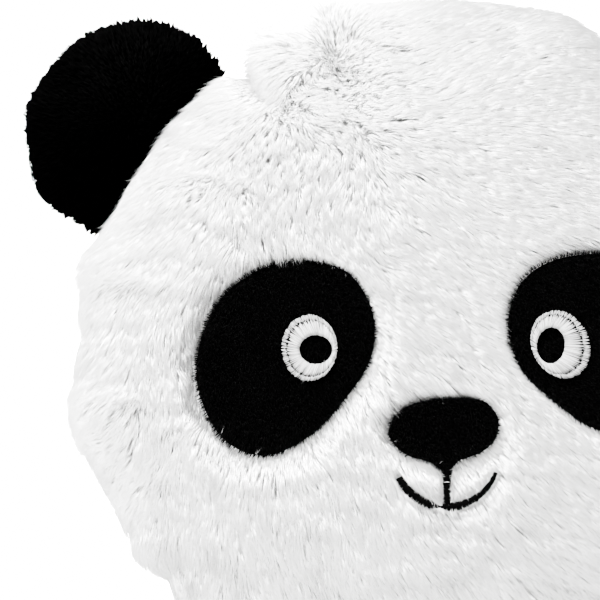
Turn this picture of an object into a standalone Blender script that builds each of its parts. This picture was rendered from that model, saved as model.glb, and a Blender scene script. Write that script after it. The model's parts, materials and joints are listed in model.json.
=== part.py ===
"""A plush panda head cushion, 296 mm across, with two stuffed ears that fold at their seams.

Metres, +Z up. The face looks along -Y and the head stands on a flat at z = 0, centred on
the origin. "Left" is -X, the left of someone who looks at the face.
"""

import math

import bmesh
import bpy
import numpy as np

# Head: two dished fur panels, sewn face to face round their rims.
HEAD_RADIUS = 0.148
HEAD_HALF_DEPTH = 0.080
HEAD_POWER = 2.4  # how square-shouldered the dished profile is; 2 would be an ellipse
FUR_DEPTH = 0.010  # backing cloth and pile together
FOOT_CUT = 0.008  # how far the bottom of the circle is pressed flat
FOOT_PRESS = 0.0045  # what is left of the fur's depth under the foot
HEAD_SEGMENTS = 48
HEAD_RINGS = 10
HEAD_CENTRE_Z = HEAD_RADIUS - FOOT_CUT

# Clearances and thread.
SEAM_GAP = 0.0003
FILLING_GAP = 0.0005
FOOT_FILLING_GAP = 0.0015  # over the foot, where the cloth's flat has a corner
SEAM_ALLOWANCE = 0.0075
SEAM_CLOTH = 0.0016
THREAD_RADIUS = 0.0004
SEAM_GROOVE = 0.0010
SEAM_INSET = 0.0135  # from the rim to the line of the seam
CLOSING_HALF_ANGLE = math.radians(20)  # half of the hand-closed stretch at the bottom
THREAD_END_GAP = math.radians(0.5)  # between the two threads of the rim's seam
THREAD_SIDES = 6

# Ears: where they are sewn on, and how they are cut.
EAR_ANGLE = math.radians(143.5)  # of the left ear, counted from +X towards +Z
EAR_SEAT = 0.1428  # the flat that the ear stands on, from the head's centre
EAR_HINGE = 0.1437  # the folding line, just above that flat
EAR_HALF_THICKNESS = 0.0125
EAR_POWER = 2.6  # how square-shouldered the ear's pillow is
EAR_CLOTH = 0.003
EAR_BASE_SLOPE = 0.5  # the ear thins towards its base at this rate, which lets it fold
EAR_BASE_HALF_THICKNESS = 0.0006
EAR_CENTRE = (0.0, 0.024)
EAR_RINGS = 6
EAR_FILLING_BASE = 0.0075
# The sewn rim from its edge inwards: how far in, and how deep the thread's groove is there.
EAR_RIM = ((0.0, 0.0), (0.0006, 0.0), (0.0015, 0.0008), (0.0024, 0.0), (EAR_CLOTH, 0.0))
# From the inner end of the base round to the outer end, in millimetres along and above it.
EAR_OUTLINE_MM = (
    (41.5, 0), (45.5, 9), (44.5, 20), (41, 32), (30.5, 43.5), (14, 52),
    (-3, 53.5), (-19, 50.5), (-31, 41), (-41.5, 29), (-43.5, 16), (-41, 0),
)  # fmt: skip

# Face: sizes to the right and up from its own middle, which lies a little low on the head.
FACE_CENTRE = np.array((0.0, -0.0043))
PATCH_OUTLINE_MM = (
    (-52, 44.3), (-36, 38.3), (-27, 22.5), (-28, 5), (-38, -11), (-52, -26),
    (-70, -34.5), (-87, -28.5), (-97, -11), (-97.8, 8), (-89, 28.5), (-72, 41.3),
)  # fmt: skip
# The right patch is the left one's mirror image, sewn on a little higher and turned outwards.
RIGHT_PATCH_TURN = math.radians(12)
RIGHT_PATCH_SHIFT = np.array((0.0027, 0.0040))
NOSE_OUTLINE_MM = (
    (2.4, -41), (-4, -37.2), (-12.7, -34.7), (-18.2, -30.5), (-21, -25), (-17.5, -17.5), (-9, -13),
    (3, -11.3), (15, -11.6), (21, -15.5), (23.6, -21), (21.8, -28.3), (16, -33.4), (7.5, -36.6),
)  # fmt: skip
LEFT_RING = ((-0.0529, 0.0090), (0.0112, 0.0134))  # centre and half axes
LEFT_PUPIL = ((-0.0503, 0.0083), (0.0067, 0.0059))
RIGHT_RING = ((0.0487, 0.0104), (0.0119, 0.0140))
RIGHT_PUPIL = ((0.0447, 0.0100), (0.0057, 0.0072))
PHILTRUM_TOP = (0.0026, -0.0415)
PHILTRUM_BOTTOM = (0.0026, -0.0538)
SMILE_CENTRE = (0.0024, -0.0340)
SMILE_RADIUS = 0.0213
SMILE_ENDS = (math.radians(206), math.radians(336))
MOUTH_HALF_WIDTH = 0.0011
GROOVE_PAST_SMILE = 0.02  # how far the groove runs past the smile, as an angle
GROOVE_PAST_PHILTRUM = (0.002, 0.001)  # past its top and its bottom
BACKING = ((0.0015, -0.036), (0.034, 0.030))

# Depths below the fur's outer surface, front to back.
PATCH_TOP, PATCH_BOTTOM = 0.0027, 0.0060
RING_TOP, RING_BOTTOM = 0.0016, 0.0024
NOSE_TOP, NOSE_BOTTOM = 0.0012, 0.0047
PHILTRUM_LINE_TOP, PHILTRUM_LINE_BOTTOM = 0.0017, 0.0031
SMILE_LINE_TOP, SMILE_LINE_BOTTOM = 0.0017, 0.0032
BACKING_TOP, BACKING_BOTTOM = 0.0126, 0.0132
STITCH_INSET = 0.0025  # from a patch's edge to its line of stitching
CUTTER_REACH = 0.010  # how far a pocket's cutter stands out of the fur

# How finely the curves are cut.
EYE_STEPS = 28
SMILE_STEPS = 19
PHILTRUM_STEPS = 4
BACKING_STEPS = 24
SEAM_STEPS = 56
CLOSING_STEPS = 9
SHARP_ANGLE = math.radians(40)

WHITE = (0.88, 0.88, 0.87)
BLACK = (0.012, 0.012, 0.013)


def clear_scene():
    for thing in list(bpy.data.objects):
        bpy.data.objects.remove(thing, do_unlink=True)


def material(name, colour, roughness):
    made = bpy.data.materials.new(name)
    made.use_nodes = True
    shader = made.node_tree.nodes["Principled BSDF"]
    shader.inputs["Base Color"].default_value = (*colour, 1.0)
    shader.inputs["Roughness"].default_value = roughness
    shader.inputs["Metallic"].default_value = 0.0
    return made


def add_object(name, points, faces, finish=None, parent=None):
    """One closed mesh as an object, its faces turned outwards."""
    mesh = bpy.data.meshes.new(name)
    mesh.from_pydata([tuple(p) for p in points], [], faces)
    work = bmesh.new()
    work.from_mesh(mesh)
    bmesh.ops.recalc_face_normals(work, faces=work.faces)
    work.to_mesh(mesh)
    work.free()
    mesh.shade_smooth()
    mesh.set_sharp_from_angle(angle=SHARP_ANGLE)
    made = bpy.data.objects.new(name, mesh)
    bpy.context.collection.objects.link(made)
    if finish is not None:
        mesh.materials.append(finish)
    if parent is not None:
        made.parent = parent
    return made


def smooth_curve(corners, steps, closed):
    """Points of a Catmull-Rom curve through the corners."""
    corners = np.asarray(corners, float)
    count = len(corners)
    spans = count if closed else count - 1
    points = []
    for i in range(spans):
        near = [corners[(i + k) % count] for k in (-1, 0, 1, 2)]
        if not closed and i == 0:
            near[0] = 2 * near[1] - near[2]
        if not closed and i == spans - 1:
            near[3] = 2 * near[2] - near[1]
        for t in np.arange(steps) / steps:
            bend = 2 * near[0] - 5 * near[1] + 4 * near[2] - near[3]
            twist = 3 * (near[1] - near[2]) + near[3] - near[0]
            slope = near[2] - near[0]
            points.append(near[1] + 0.5 * (slope * t + bend * t**2 + twist * t**3))
    if not closed:
        points.append(corners[-1])
    return np.array(points)


def ellipse(centre, half_axes, steps):
    turn = np.arange(steps) * 2 * math.pi / steps
    return np.column_stack(
        (centre[0] + half_axes[0] * np.cos(turn), centre[1] + half_axes[1] * np.sin(turn))
    )


def grow(outline, by):
    """The closed outline moved outwards by a distance, or inwards where it is negative."""
    ahead = np.roll(outline, -1, axis=0) - np.roll(outline, 1, axis=0)
    out = np.column_stack((ahead[:, 1], -ahead[:, 0]))
    out /= np.linalg.norm(out, axis=1)[:, None]
    middle = outline.mean(axis=0)
    if np.sum(out * (outline - middle)) < 0:
        out = -out
    return outline + by * out


def mirrored(outline):
    return outline * np.array((-1.0, 1.0))


def turned(outline, turn):
    """A closed outline turned about the middle of its points, counterclockwise."""
    middle = outline.mean(axis=0)
    x, z = (outline - middle).T
    new_x = x * math.cos(turn) - z * math.sin(turn)
    new_z = x * math.sin(turn) + z * math.cos(turn)
    return middle + np.column_stack((new_x, new_z))


def stacked_faces(levels, count, first_pole, last_pole):
    """Quads between closed loops of points, with a fan to a pole point at either end."""
    faces = []
    for level in range(levels - 1):
        for i in range(count):
            a = level * count + i
            b = level * count + (i + 1) % count
            faces.append((a, b, b + count, a + count))
    last = (levels - 1) * count
    for i in range(count):
        after = (i + 1) % count
        if first_pole is not None:
            faces.append((first_pole, after, i))
        if last_pole is not None:
            faces.append((last_pole, last + i, last + after))
    return faces


def head_profile(edge, half_depth):
    """Radius and depth of the dished surface, from its pole to its edge."""
    turn = np.linspace(0, math.pi / 2, HEAD_RINGS + 1)
    return np.column_stack(
        (edge * np.sin(turn) ** (2 / HEAD_POWER), half_depth * np.cos(turn))
    )


def face_y(x, z, below):
    """The y of the face's surface at a place, or of a surface that lies below it."""
    share = np.clip(np.hypot(x, z) / HEAD_RADIUS, 0, 1)
    return below - HEAD_HALF_DEPTH * np.sqrt(1 - share**HEAD_POWER)


def pressed(points, inset):
    """Points in the head's own plane, pressed back to the foot and to the two ear seats."""
    flats = (
        ((0.0, -1.0), HEAD_CENTRE_Z),
        ((math.cos(EAR_ANGLE), math.sin(EAR_ANGLE)), EAR_SEAT),
        ((-math.cos(EAR_ANGLE), math.sin(EAR_ANGLE)), EAR_SEAT),
    )
    for normal, distance in flats:
        normal = np.array(normal)
        over = np.maximum(0, points @ normal - (distance - inset))
        points = points - over[:, None] * normal
    return points


def spun(name, profile, side, finish):
    """A profile of radius, depth and inset turned about the head's axis, both ends on it."""
    turn = np.arange(HEAD_SEGMENTS) * 2 * math.pi / HEAD_SEGMENTS
    circle = np.column_stack((np.cos(turn), np.sin(turn)))
    points = []
    for radius, depth, inset in profile[1:-1]:
        for x, z in pressed(circle * radius, inset):
            points.append((x, side * depth, z + HEAD_CENTRE_Z))
    levels = len(profile) - 2
    first, last = len(points), len(points) + 1
    for _, depth, _ in (profile[0], profile[-1]):
        points.append((0.0, side * depth, HEAD_CENTRE_Z))
    return add_object(name, points, stacked_faces(levels, HEAD_SEGMENTS, first, last), finish)


def head_panel(name, side, finish):
    """A dished shell of fur whose rim turns in as the seam allowance, with the seam's groove."""
    outer = head_profile(HEAD_RADIUS, HEAD_HALF_DEPTH)
    inner = head_profile(HEAD_RADIUS - FUR_DEPTH, HEAD_HALF_DEPTH - FUR_DEPTH)
    face = SEAM_GAP / 2
    seam = HEAD_RADIUS - SEAM_INSET
    lip = HEAD_RADIUS - FUR_DEPTH - SEAM_ALLOWANCE
    profile = [(radius, max(depth, face), 0.0) for radius, depth in outer]
    for turn in np.radians((0, 60, 120, 180)):
        radius = seam + SEAM_GROOVE * math.cos(turn)
        profile.append((radius, face + SEAM_GROOVE * math.sin(turn), 0.0))
    profile.append((lip, face, 0.0))
    profile.append((lip, face + SEAM_CLOTH, 0.0))
    for radius, depth in inner[::-1]:
        profile.append((radius, max(depth, face + SEAM_CLOTH), FOOT_PRESS))
    return spun(name, profile, side, finish)


def head_filling(finish):
    """The filling: it follows both panels, and leaves room for the turned-in seam."""
    margin = FUR_DEPTH + FILLING_GAP
    curve = head_profile(HEAD_RADIUS - margin, HEAD_HALF_DEPTH - margin)
    inset = FOOT_PRESS + FOOT_FILLING_GAP
    seam_room = SEAM_GAP / 2 + SEAM_CLOTH + FILLING_GAP
    inner_edge = HEAD_RADIUS - FUR_DEPTH - SEAM_ALLOWANCE - FILLING_GAP
    front = [(radius, -max(depth, seam_room), inset) for radius, depth in curve]
    front.append((inner_edge, -seam_room, inset))
    back = [(radius, -depth, inset) for radius, depth, inset in reversed(front)]
    return spun("head_filling", front + back, 1, finish)


def slab(name, outline, top, bottom, finish=None, rings=4):
    """A piece that follows the face between two depths below the fur, inside an outline."""
    centre = outline.mean(axis=0)
    points = []
    for level in np.concatenate((np.arange(1, rings + 1), np.arange(rings, 0, -1))) / rings:
        below = top if len(points) < rings * len(outline) else bottom
        ring = centre + (outline - centre) * level
        depth = face_y(ring[:, 0], ring[:, 1], below)
        points.extend(zip(ring[:, 0], depth, ring[:, 1] + HEAD_CENTRE_Z, strict=True))
    first, last = len(points), len(points) + 1
    for below in (top, bottom):
        points.append((centre[0], face_y(*centre, below), centre[1] + HEAD_CENTRE_Z))
    faces = stacked_faces(2 * rings, len(outline), first, last)
    return add_object(name, points, faces, finish)


def ring_slab(name, outer, hole, top, bottom, finish):
    """A ring that follows the face, between two outlines with the same count of points."""
    middle = (outer + hole) / 2
    points = []
    for outline, below in (
        (outer, bottom), (outer, top), (middle, top), (hole, top), (hole, bottom), (middle, bottom),
    ):  # fmt: skip
        depth = face_y(outline[:, 0], outline[:, 1], below)
        points.extend(zip(outline[:, 0], depth, outline[:, 1] + HEAD_CENTRE_Z, strict=True))
    count, levels = len(outer), 6
    faces = stacked_faces(levels, count, None, None)
    for i in range(count):
        after = (i + 1) % count
        last = (levels - 1) * count
        faces.append((last + i, last + after, after, i))
    return add_object(name, points, faces, finish)


def bar(name, path, half_width, top, bottom, finish=None):
    """A flat line of satin stitches along an open path on the face."""
    path = np.asarray(path, float)
    ahead = np.gradient(path, axis=0)
    side = np.column_stack((-ahead[:, 1], ahead[:, 0]))
    side *= half_width / np.linalg.norm(side, axis=1)[:, None]
    points = []
    for place, across in zip(path, side, strict=True):
        for edge, below in ((-1, bottom), (-1, top), (1, top), (1, bottom)):
            x, z = place + edge * across
            points.append((x, face_y(x, z, below), z + HEAD_CENTRE_Z))
    faces = []
    for k in range(len(path) - 1):
        for i in range(4):
            j = (i + 1) % 4
            faces.append((4 * k + i, 4 * k + j, 4 * k + 4 + j, 4 * k + 4 + i))
    end = 4 * (len(path) - 1)
    faces.append((0, 1, 2, 3))
    faces.append((end + 3, end + 2, end + 1, end))
    return add_object(name, points, faces, finish)


def tube(name, path, radius, closed, finish, parent=None):
    """A round thread along a path in space."""
    path = np.asarray(path, float)
    if closed:
        ahead = np.roll(path, -1, axis=0) - np.roll(path, 1, axis=0)
    else:
        ahead = np.gradient(path, axis=0)
    ahead /= np.linalg.norm(ahead, axis=1)[:, None]
    across = np.cross(ahead, (0.0, 1.0, 0.0))
    across /= np.linalg.norm(across, axis=1)[:, None]
    up = np.cross(across, ahead)
    points = []
    for place, right, rise in zip(path, across, up, strict=True):
        for turn in np.arange(THREAD_SIDES) * 2 * math.pi / THREAD_SIDES:
            points.append(place + radius * (math.cos(turn) * right + math.sin(turn) * rise))
    count = len(path)
    faces = []
    for k in range(count if closed else count - 1):
        after = (k + 1) % count * THREAD_SIDES
        for i in range(THREAD_SIDES):
            j = (i + 1) % THREAD_SIDES
            faces.append((k * THREAD_SIDES + i, k * THREAD_SIDES + j, after + j, after + i))
    if not closed:
        faces.append(tuple(range(THREAD_SIDES)))
        last = (count - 1) * THREAD_SIDES
        faces.append(tuple(range(last + THREAD_SIDES - 1, last - 1, -1)))
    return add_object(name, points, faces, finish, parent)


def stitch_loop(name, outline, below, finish):
    """A closed line of thread on a patch, a little inside its edge."""
    line = grow(outline, -STITCH_INSET)
    depth = face_y(line[:, 0], line[:, 1], below - SEAM_GAP - THREAD_RADIUS)
    path = np.column_stack((line[:, 0], depth, line[:, 1] + HEAD_CENTRE_Z))
    return tube(name, path, THREAD_RADIUS, True, finish)


def cut_away(body, cutter):
    """Cuts a pocket, and keeps the cutter only as a guide."""
    cutter.hide_render = True
    cutter.display_type = "WIRE"
    cut = body.modifiers.new(cutter.name, "BOOLEAN")
    cut.operation = "DIFFERENCE"
    cut.object = cutter


def seam_arc(name, start, end, steps, finish):
    turn = np.linspace(start, end, steps)
    radius = HEAD_RADIUS - SEAM_INSET
    path = np.column_stack(
        (radius * np.cos(turn), np.zeros(steps), radius * np.sin(turn) + HEAD_CENTRE_Z)
    )
    return tube(name, path, THREAD_RADIUS, False, finish)


def make_head(fur, thread, filling_fibre):
    face_panel = head_panel("face_panel", -1, fur)
    head_panel("back_panel", 1, fur)
    filling = head_filling(filling_fibre)
    down = -math.pi / 2
    gap = CLOSING_HALF_ANGLE
    seam_arc("perimeter_seam_thread", down + gap, down + 2 * math.pi - gap, SEAM_STEPS, thread)
    near, far = down - gap + THREAD_END_GAP, down + gap - THREAD_END_GAP
    seam_arc("closing_stitch", near, far, CLOSING_STEPS, thread)
    return face_panel, filling


def make_eye(side, outline, ring, pupil, face_panel, pile, thread, white_thread):
    pocket = slab(
        f"{side}_patch_pocket", grow(outline, SEAM_GAP), -CUTTER_REACH, PATCH_BOTTOM + SEAM_GAP,
        rings=3,
    )
    cut_away(face_panel, pocket)
    slab(f"{side}_eye_patch", outline, PATCH_TOP, PATCH_BOTTOM, pile, rings=3)
    stitch_loop(f"{side}_patch_stitching", outline, PATCH_TOP, thread)
    outer = ellipse(ring[0] + FACE_CENTRE, ring[1], EYE_STEPS)
    hole = ellipse(pupil[0] + FACE_CENTRE, pupil[1], EYE_STEPS)
    ring_slab(f"{side}_eye_ring", outer, hole, RING_TOP, RING_BOTTOM, white_thread)


def make_nose(face_panel, pile, thread):
    outline = smooth_curve(np.array(NOSE_OUTLINE_MM) / 1000, 2, True) + FACE_CENTRE
    pocket = slab(
        "nose_pocket", grow(outline, SEAM_GAP), -CUTTER_REACH, NOSE_BOTTOM + SEAM_GAP, rings=4
    )
    cut_away(face_panel, pocket)
    slab("nose_applique", outline, NOSE_TOP, NOSE_BOTTOM, pile, rings=4)
    stitch_loop("nose_stitching", outline, NOSE_TOP, thread)


def smile_arc(past_ends=0.0):
    """The smile's middle line, run on past both ends by an angle."""
    start, end = SMILE_ENDS
    turn = np.linspace(start - past_ends, end + past_ends, SMILE_STEPS)
    arc = np.column_stack((np.cos(turn), np.sin(turn)))
    return arc * SMILE_RADIUS + SMILE_CENTRE + FACE_CENTRE


def philtrum_line(past_top=0.0, past_bottom=0.0):
    """The upright line from the nose to the smile, run on past its ends."""
    top = PHILTRUM_TOP + FACE_CENTRE + (0, past_top)
    bottom = PHILTRUM_BOTTOM + FACE_CENTRE - (0, past_bottom)
    return np.linspace(top, bottom, PHILTRUM_STEPS)


def make_mouth(face_panel, thread):
    room = MOUTH_HALF_WIDTH + SEAM_GAP
    smile_groove = bar(
        "smile_groove", smile_arc(GROOVE_PAST_SMILE), room,
        -CUTTER_REACH, SMILE_LINE_BOTTOM + SEAM_GAP,
    )  # fmt: skip
    philtrum_groove = bar(
        "philtrum_groove", philtrum_line(*GROOVE_PAST_PHILTRUM), room,
        -CUTTER_REACH, PHILTRUM_LINE_BOTTOM + SEAM_GAP,
    )  # fmt: skip
    cut_away(face_panel, smile_groove)
    cut_away(face_panel, philtrum_groove)
    bar("smile_stitch", smile_arc(), MOUTH_HALF_WIDTH, SMILE_LINE_TOP, SMILE_LINE_BOTTOM, thread)
    bar(
        "philtrum_stitch", philtrum_line(), MOUTH_HALF_WIDTH,
        PHILTRUM_LINE_TOP, PHILTRUM_LINE_BOTTOM, thread,
    )  # fmt: skip


def make_backing(filling, cloth):
    centre, half_axes = BACKING
    outline = ellipse(centre + FACE_CENTRE, half_axes, BACKING_STEPS)
    slab("embroidery_backing", outline, BACKING_TOP, BACKING_BOTTOM, cloth, rings=3)
    room = slab(
        "backing_room", grow(outline, FILLING_GAP), BACKING_TOP - CUTTER_REACH,
        BACKING_BOTTOM + FILLING_GAP, rings=3,
    )  # fmt: skip
    cut_away(filling, room)


def ear_height(points, share):
    """Half the ear's thickness: a pillow that thins to almost nothing at the fold."""
    dome = EAR_HALF_THICKNESS * np.sqrt(np.clip(1 - share**EAR_POWER, 1e-6, 1))
    wedge = EAR_BASE_HALF_THICKNESS + EAR_BASE_SLOPE * np.maximum(points[:, 1], 0)
    return (dome**-4 + wedge**-4) ** -0.25


def ear_crown():
    """Half the ear's thickness at its centre."""
    return float(ear_height(np.array([EAR_CENTRE]), 0.0)[0])


def ear_outline(side):
    """The ear's edge: one smooth curve, closed by the straight base on the folding line."""
    curve = smooth_curve(np.array(EAR_OUTLINE_MM) / 1000, 2, False)
    base = np.linspace(curve[-1], curve[0], 7)[1:-1]
    return np.concatenate((curve, base)) * np.array((-side, 1.0))


def ear_rings(outline, edge, levels):
    """Loops from the ear's centre towards an edge, and how thick the pillow is on each."""
    centre = np.array(EAR_CENTRE)
    reach = np.linalg.norm(outline - centre, axis=1)
    for level in levels:
        ring = centre + (edge - centre) * level
        share = np.linalg.norm(ring - centre, axis=1) / reach
        yield ring, ear_height(ring, share)


def ear_solid(name, loops, poles, finish, hinge):
    """A closed body from loops of (outline, y) and the two y values of its poles."""
    points = []
    for ring, depth in loops:
        points.extend(zip(ring[:, 0], depth, ring[:, 1], strict=True))
    first, last = len(points), len(points) + 1
    for y in poles:
        points.append((EAR_CENTRE[0], y, EAR_CENTRE[1]))
    faces = stacked_faces(len(loops), len(loops[0][0]), first, last)
    return add_object(name, points, faces, finish, hinge)


def ear_panel(name, side, facing, finish, hinge):
    """One dished ear panel, with a groove for the thread in its sewn rim."""
    outline = ear_outline(side)
    face = SEAM_GAP / 2
    levels = np.sin(np.arange(1, EAR_RINGS) / EAR_RINGS * math.pi / 2)
    loops = []
    for ring, height in ear_rings(outline, outline, levels):
        loops.append((ring, facing * np.maximum(height, face)))
    for inset, lift in EAR_RIM:
        loops.append((grow(outline, -inset), np.full(len(outline), facing * (face + lift))))
    cavity = grow(outline, -EAR_CLOTH - SEAM_GAP)
    for ring, height in ear_rings(outline, cavity, np.append(1, levels[::-1])):
        loops.append((ring, facing * np.maximum(height - EAR_CLOTH, face)))
    top = facing * ear_crown()
    return ear_solid(name, loops, (top, top - facing * EAR_CLOTH), finish, hinge)


def ear_filling(name, side, finish, hinge):
    outline = ear_outline(side)
    edge = grow(outline, -EAR_CLOTH - SEAM_GAP - FILLING_GAP)
    edge[:, 1] = np.maximum(edge[:, 1], EAR_FILLING_BASE)
    levels = np.sin(np.arange(1, EAR_RINGS) / EAR_RINGS * math.pi / 2)
    below = EAR_CLOTH + FILLING_GAP
    front = [(ring, below - height) for ring, height in ear_rings(outline, edge, levels)]
    back = [(ring, -depth) for ring, depth in reversed(front)]
    loops = front + [(edge, np.zeros(len(edge)))] + back
    top = ear_crown() - below
    return ear_solid(name, loops, (-top, top), finish, hinge)


def ear_thread(name, side, finish, hinge):
    line = grow(ear_outline(side), -EAR_RIM[2][0])
    path = np.column_stack((line[:, 0], np.zeros(len(line)), line[:, 1]))
    return tube(name, path, THREAD_RADIUS, True, finish, hinge)


def make_ear(word, side, pile, thread, fibre):
    """An ear on an empty that lies on its folding line and leans out with the ear."""
    lean = math.pi / 2 - EAR_ANGLE
    hinge = bpy.data.objects.new(f"{word}_ear_hinge", None)
    bpy.context.collection.objects.link(hinge)
    across = -side * EAR_HINGE * math.sin(lean)
    hinge.location = (across, 0, HEAD_CENTRE_Z + EAR_HINGE * math.cos(lean))
    hinge.rotation_euler = (0, -side * lean, 0)
    ear_panel(f"{word}_ear_front", side, -1, pile, hinge)
    ear_panel(f"{word}_ear_back", side, 1, pile, hinge)
    ear_filling(f"{word}_ear_filling", side, fibre, hinge)
    ear_thread(f"{word}_ear_seam_thread", side, thread, hinge)


def main():
    clear_scene()
    fur = material("white_fur", WHITE, 0.95)
    pile = material("black_pile", BLACK, 0.95)
    white_thread = material("white_thread", WHITE, 0.55)
    black_thread = material("black_thread", BLACK, 0.55)
    fibre = material("filling_fibre", WHITE, 1.0)
    backing = material("backing_cloth", WHITE, 0.9)
    face_panel, filling = make_head(fur, white_thread, fibre)
    patch = smooth_curve(np.array(PATCH_OUTLINE_MM) / 1000, 3, True) + FACE_CENTRE
    right_patch = turned(mirrored(patch), RIGHT_PATCH_TURN) + RIGHT_PATCH_SHIFT
    eyes = (
        ("left", patch, LEFT_RING, LEFT_PUPIL),
        ("right", right_patch, RIGHT_RING, RIGHT_PUPIL),
    )
    for word, outline, ring, pupil in eyes:
        make_eye(word, outline, ring, pupil, face_panel, pile, black_thread, white_thread)
    make_nose(face_panel, pile, black_thread)
    make_mouth(face_panel, black_thread)
    make_backing(filling, backing)
    for word, side in (("left", -1), ("right", 1)):
        make_ear(word, side, pile, black_thread, fibre)


main()
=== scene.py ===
"""The looks of the plush panda head: fur, pile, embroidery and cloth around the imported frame."""

import json
import math

import bmesh
import bpy
import numpy as np
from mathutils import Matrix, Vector


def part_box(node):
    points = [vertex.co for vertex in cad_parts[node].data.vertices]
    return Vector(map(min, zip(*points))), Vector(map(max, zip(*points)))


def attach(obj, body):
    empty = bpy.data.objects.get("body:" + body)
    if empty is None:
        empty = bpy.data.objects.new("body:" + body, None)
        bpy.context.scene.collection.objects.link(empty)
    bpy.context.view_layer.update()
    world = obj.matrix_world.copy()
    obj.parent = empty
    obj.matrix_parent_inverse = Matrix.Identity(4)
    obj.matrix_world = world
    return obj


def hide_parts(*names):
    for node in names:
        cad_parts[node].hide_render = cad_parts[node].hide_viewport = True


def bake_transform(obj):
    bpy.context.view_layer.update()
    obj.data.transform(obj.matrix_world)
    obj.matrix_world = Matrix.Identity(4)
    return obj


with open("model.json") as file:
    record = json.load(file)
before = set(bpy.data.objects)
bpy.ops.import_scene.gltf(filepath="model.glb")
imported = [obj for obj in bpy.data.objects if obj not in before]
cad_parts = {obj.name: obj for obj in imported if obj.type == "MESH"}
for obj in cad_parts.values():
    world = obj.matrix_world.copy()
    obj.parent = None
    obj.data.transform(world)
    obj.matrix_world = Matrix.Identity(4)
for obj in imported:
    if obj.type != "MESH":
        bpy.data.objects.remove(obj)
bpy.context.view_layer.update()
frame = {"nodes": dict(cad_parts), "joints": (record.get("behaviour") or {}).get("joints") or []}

# The head's shape, from the frame.
FACE_LOW, FACE_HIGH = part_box("face_panel")
RADIUS = (FACE_HIGH.x - FACE_LOW.x) / 2
HALF_DEPTH = -FACE_LOW.y
CENTRE_Z = FACE_HIGH.z - RADIUS
HEAD_POWER = 2.4
FACE_DROP = 0.0043  # how far the middle of the face lies below the head's
FACE_Z = CENTRE_Z - FACE_DROP
JOINTS = {joint["child"]: joint for joint in frame["joints"]}

# Fur: the cloth lies this far below the tips.
CLOTH_DEPTH = 0.0078
FRONT_STRANDS = 270000
BACK_STRANDS = 75000
LOOSE_HAIRS = 130000
STRAND_LENGTH = 0.0105
STRAND_RISE = 0.0072
STRAND_RADIUS = 0.00012
HAIR_RADIUS = 0.00008
FRONT_SECTORS = 15
BACK_SECTORS = 6
SKIN_THICKNESS = 0.0012
ROW_PITCH = 0.0135  # from one row of overlapping locks to the next
LEE_REACH = 0.0013  # how far under a sewn-on piece's edge the fur that leans away is rooted
# Beside a sewn-on piece's upper-left side the fur is lower, with painted shade in its tone.
PAINTED_SHADE_STEP = np.array((0.0064, -0.0052))  # from the shaded strip beside a sewn-on piece to the piece
RECESS = 0.006  # how wide a strip of shorter fur runs round a sewn-on piece
# Bulges and hollows of the fur's outline: turn, half width (degrees), and height.
OUTLINE_LUMPS = (
    (190, 34, 0.0024), (163.6, 3.2, 0.005), (173.5, 2.6, -0.0014), (188.2, 6.0, 0.0064),
    (206.5, 3.4, -0.0018), (212.0, 1.7, 0.0017), (216.8, 3.2, -0.005),
    (112, 16, 0.004), (107.6, 3.4, 0.0062), (112.8, 1.3, -0.001), (116.6, 2.6, 0.0072),
    (122.6, 2.8, -0.0108), (121.6, 1.0, -0.002), (72, 6.0, 0.0034),
)  # fmt: skip
# How the fur is combed: places on the face in millimetres, and turns in degrees from
# straight down, positive to the right.
COMB = (
    (-57, 130, -35), (-77, 117, -50), (-89, 105, -65), (-117, 89, -80), (-126, 73, -75),
    (-134, 53, -50), (-142, 28, -50), (-144, -4, -50), (-146, -28, -65), (-130, -40, -50),
    (-126, -61, -15), (-97, -53, 0), (-97, -81, -10), (-77, -69, 12), (-57, -61, 18),
    (-32, -45, 24), (-24, -77, 28), (-57, -89, 20), (-105, 69, -10), (-89, 65, 0),
    (-75, 65, 25), (-117, 16, -15), (-103, -4, 15), (-109, 40, -15), (-59, 89, 5),
    (-36, 77, 5), (-49, 101, 70), (-16, 81, 42), (-4, 73, 50), (-16, 103, 82),
    (0, 117, 112), (-4, 130, 105), (-30, 133, 40), (24, 134, 108), (49, 117, 92), (32, 77, 72),
    (-8, 49, 55), (-44, 53, 25), (16, 28, 60), (-12, 8, 50), (-4, -45, 18),
    (12, -49, 38), (32, -32, 52), (4, -77, 38), (44, -73, 48), (60, -12, 55),
    (-24, -12, 40), (110, 60, 80), (125, 0, 65), (100, -80, 40), (60, -120, 20),
    (-60, -125, -5), (0, -130, 12),
)  # fmt: skip
COMB_SPREAD = 0.009
# Where the fur stands up towards the viewer: centres and half sizes in millimetres.
CRESTS = (
    (-44, 131, 17, 11), (-34, 109, 12, 14), (-95, 77, 20, 4.5), (-122, 37, 11, 4.5),
    (-123, -10, 10, 4), (-104, -20, 9, 4), (-61, 104, 6, 6),
)  # fmt: skip
# Where some hairs cross an edge: centre, radius, their share and how far they reach.
CROSSINGS = (
    ((-0.001, -0.0541), 0.0014, 0.8, 0.8), ((0.0158, -0.0494), 0.001, 0.6, 0.6),
    ((0.0216, -0.043), 0.0014, 0.6, 0.6), ((-0.061, 0.042), 0.0058, 0.3, 0.5),
    ((-0.0185, -0.019), 0.004, 0.12, 0.5),
)  # fmt: skip
GRID_TURNS = 160
GRID_RINGS = 120
SPAN = 48  # cells along each side of a clump lattice, after which its jitter repeats
FAR = 100000  # more cells than any lattice here has along a side

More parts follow.
